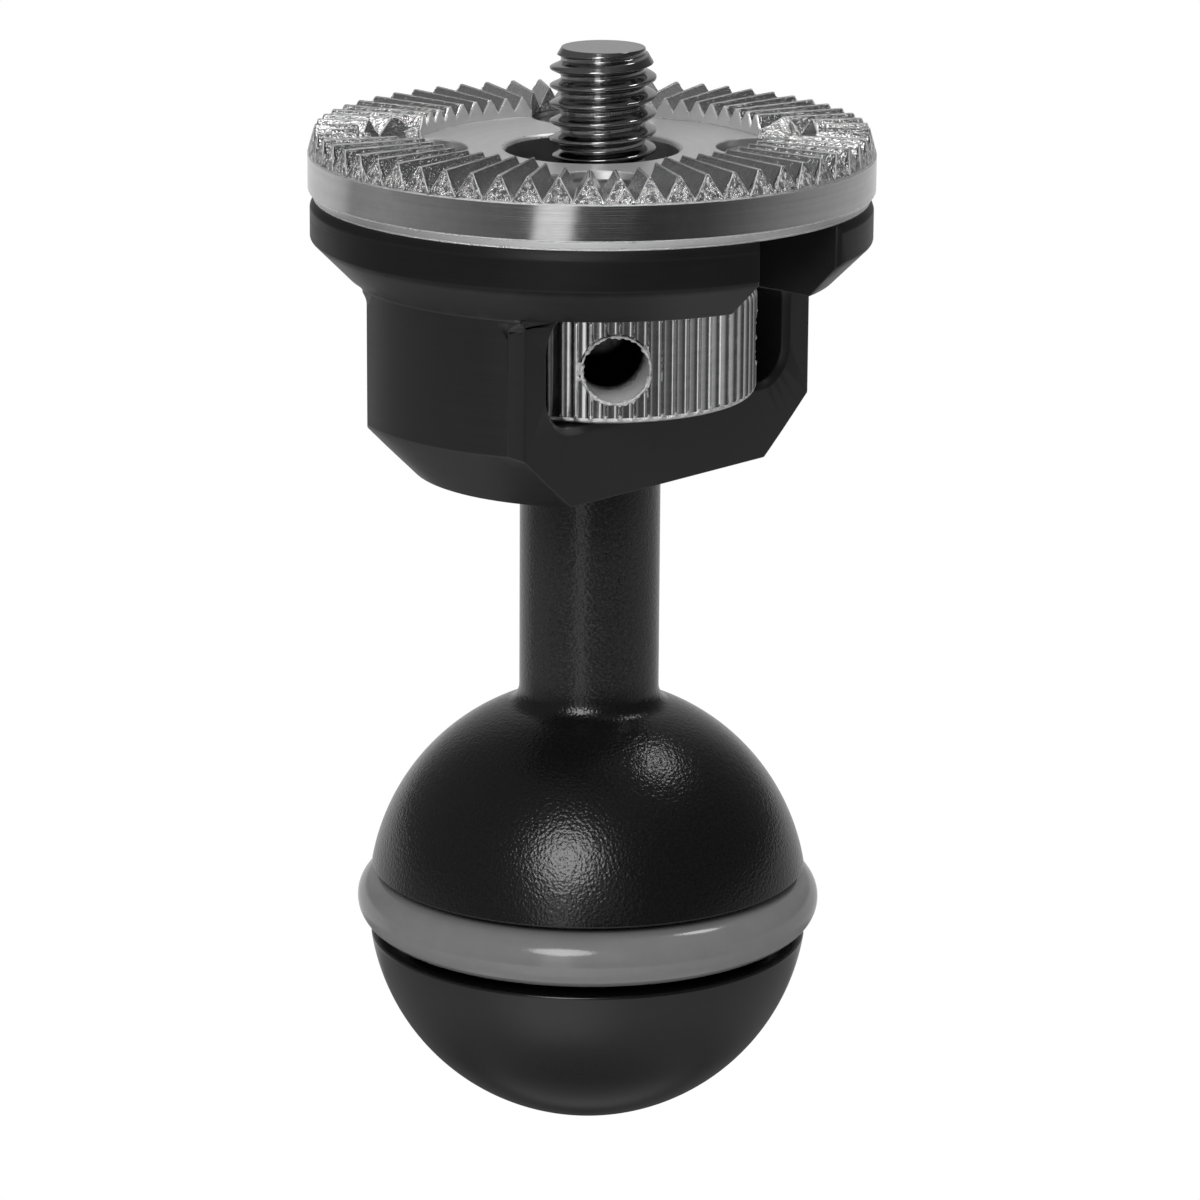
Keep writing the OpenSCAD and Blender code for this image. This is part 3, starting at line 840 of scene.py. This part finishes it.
world = bpy.data.worlds.new("studio")
world.use_nodes = True
scene.world = world
tree = world.node_tree
plain = tree.nodes["Background"]
plain.inputs["Color"].default_value = grey(studio["ambient"])
white = put(tree, "Background", {"Color": grey(1.0)})
mixed = put(tree, "MixShader", {0: whiteSeen(tree), 1: plain.outputs[0], 2: white.outputs[0]})
tree.links.new(mixed.outputs[0], tree.nodes["World Output"].inputs[0])


def floorMaterial():
    made, tree, shader = material("paleFloor", {"Base Color": grey(studio["floorTone"]), "Roughness": 0.9,
                                                "Specular IOR Level": 0.1})
    at = polar(tree)
    far = step(tree, at["r"], studio["nearFloor"] / mm, studio["farFloor"] / mm)
    glow = put(tree, "Emission", {"Color": grey(1.0)})
    both = put(tree, "MixShader", {0: whiteSeen(tree, far), 1: shader.outputs[0], 2: glow.outputs[0]})
    tree.links.new(both.outputs[0], tree.nodes["Material Output"].inputs[0])
    return made


size, floorZ = studio["floorSize"], studio["floorZ"]
floorMesh = bpy.data.meshes.new("floor")
floorMesh.from_pydata([(-size, -size, floorZ), (size, -size, floorZ), (size, size, floorZ),
                       (-size, size, floorZ)], [], [(0, 1, 2, 3)])
floor = linked("floor", floorMesh)
floorMesh.materials.append(floorMaterial())

# Studio table, walls and ceiling, seen only in reflections. The pairs of azimuth and grey give
# round steel its dark and light bands, and the ends are in degrees above the eye level, or in mm
# from the object for the near part of the table.
wall = {
    "profile": ((1, -106), (60, -106), (250, -105), (250, 45), (900, 46), (900, 400), (640, 760),
                (300, 930), (1, 950)),
    "columns": 120, "eyeLevel": 20.0, "ceiling": 0.16, "nearTable": 0.7, "nearEnds": (45.0, 80.0),
    "tableEnds": (-30.0, -22.0), "lowEnds": (-5.0, 2.0), "ceilingStarts": (35.0, 60.0),
    "table": ((-180, 0.1), (-120, 0.35), (-60, 0.7), (-30, 1.2), (-5, 1.2), (25, 0.75), (100, 0.45),
              (180, 0.1)),
    "low": ((-180, 0.75), (-128, 0.68), (-116, 0.55), (-110, 0.32), (-90, 0.36), (-60, 0.24), (-30, 0.12),
            (-23, 0.1), (-21, 0.95), (-8, 0.95), (-6, 0.08), (20, 0.04), (45, 0.07), (60, 0.14),
            (80, 0.27), (110, 0.42), (140, 0.55), (180, 0.75)),
    "high": ((-180, 0.5), (-162, 0.48), (-140, 0.18), (-110, 0.18), (-42, 0.18), (-36, 0.34), (-23, 0.34),
             (-20, 1.7), (-9, 1.7), (-6, 0.34), (14, 0.34), (22, 0.08), (60, 0.06), (110, 0.08),
             (140, 0.15), (162, 0.48), (180, 0.5)),
}


def azimuthRamp(tree, share, stops):
    ramp = put(tree, "ValToRGB", {0: share})
    while len(ramp.color_ramp.elements) < len(stops):
        ramp.color_ramp.elements.new(0.5)
    for element, (azimuth, value) in zip(ramp.color_ramp.elements, stops):
        element.position, element.color = azimuth / 360 + 0.5, grey(value)
    return ramp.outputs[0]


def wallMaterial(w):
    made = bpy.data.materials.new("reflectedWall")
    made.use_nodes = True
    tree = made.node_tree
    tree.nodes.remove(tree.nodes["Principled BSDF"])
    at = polar(tree)
    turn = calc(tree, "SUBTRACT", calc(tree, "ADD", at["angle"], math.pi / 2),
                math.radians(shot["azimuth"]) - math.pi)
    share = calc(tree, "FRACT", calc(tree, "DIVIDE", turn, tau))
    height = calc(tree, "SUBTRACT", at["z"], w["eyeLevel"])
    rise = calc(tree, "DEGREES", calc(tree, "ARCTAN2", height, at["r"]))
    table = blendColour(tree, step(tree, at["r"], *w["nearEnds"]), grey(w["nearTable"]),
                        azimuthRamp(tree, share, w["table"]))
    sides = blendColour(tree, step(tree, rise, *w["lowEnds"]), azimuthRamp(tree, share, w["low"]),
                        azimuthRamp(tree, share, w["high"]))
    sides = blendColour(tree, step(tree, rise, *w["tableEnds"]), table, sides)
    colour = blendColour(tree, step(tree, rise, *w["ceilingStarts"]), sides, grey(w["ceiling"]))
    glow = put(tree, "Emission", {"Color": colour})
    tree.links.new(glow.outputs[0], tree.nodes["Material Output"].inputs[0])
    return made


# The profile turned about Z, its faces looking inwards
def wallMesh(w):
    profile, columns = np.array(w["profile"], float), w["columns"]
    turns = roundTurns(columns)
    points = wound(profile[:, :1] + 0 * turns, profile[:, 1:], turns).reshape(-1, 3)
    i, j = np.meshgrid(np.arange(len(profile) - 1), np.arange(columns), indexing="ij")
    k = (j + 1) % columns
    up = (i + 1) * columns
    quads = np.stack([i * columns + j, up + j, up + k, i * columns + k], axis=2).reshape(-1, 4)
    return filled("reflectedWall", points, quads)


screen = linked("reflectedWall", wallMesh(wall))
screen.data.materials.append(wallMaterial(wall))
screen.visible_camera = False
screen.visible_diffuse = False
screen.visible_transmission = False
screen.visible_shadow = False
scene.view_settings.view_transform = "Standard"
print("stage: camera, lamps and surroundings made")
